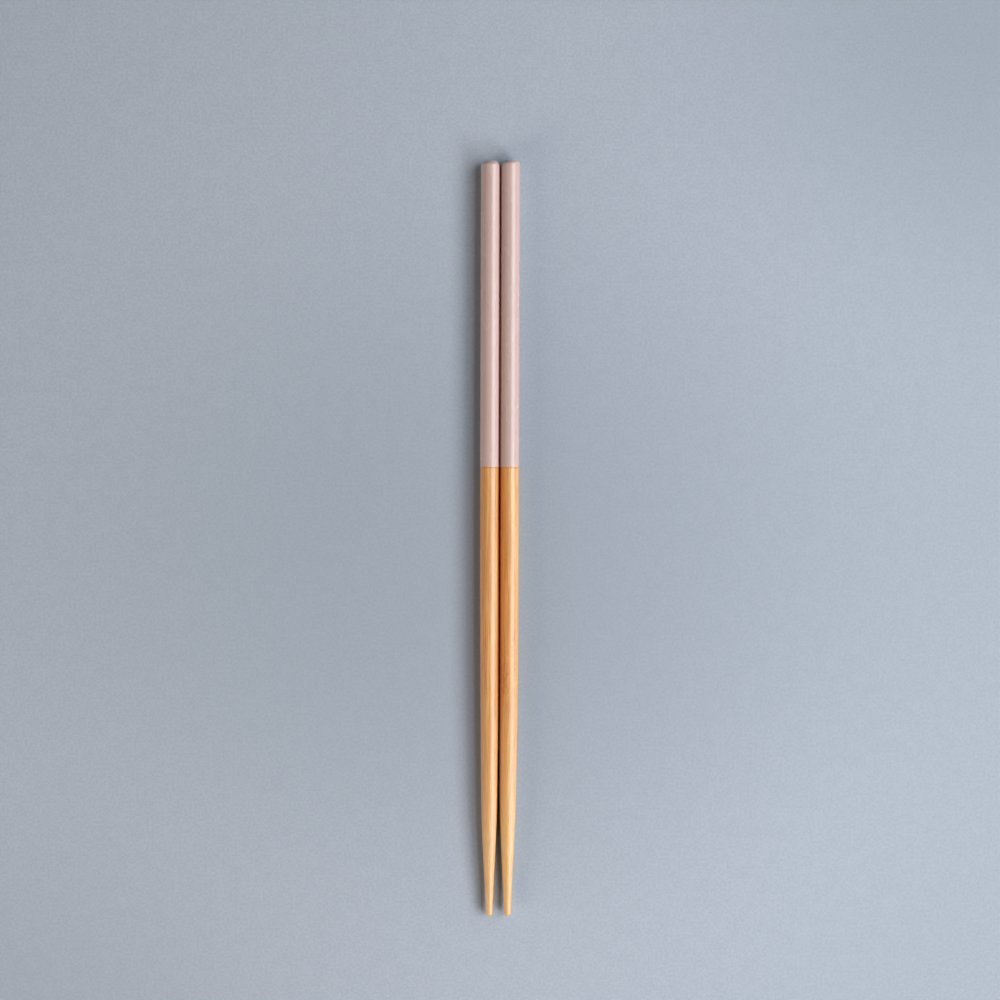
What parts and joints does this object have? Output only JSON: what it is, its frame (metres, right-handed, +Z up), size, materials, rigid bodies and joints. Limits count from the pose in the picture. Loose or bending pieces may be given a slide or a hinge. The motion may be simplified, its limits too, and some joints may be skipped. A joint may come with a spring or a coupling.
{
  "type": "pair of cooking chopsticks",
  "caption": "Long round tapering bamboo cooking chopsticks with lacquered grips and blunt rounded tips, for stirring, turning and lifting hot food.",
  "frame": {"origin": "on the table, under the middle of the pair as it lies side by side", "axes": "+Z up from the table, +Y along the sticks towards their butts, +X from the left stick to the right one"},
  "size_m": [0.017, 0.33, 0.0084],
  "materials": {
    "bamboo": "satin",
    "pink_lacquer": "satin"
  },
  "bodies": {
    "root": {"left_chopstick": "bamboo", "right_chopstick": "bamboo"}
  },
  "joints": []
}
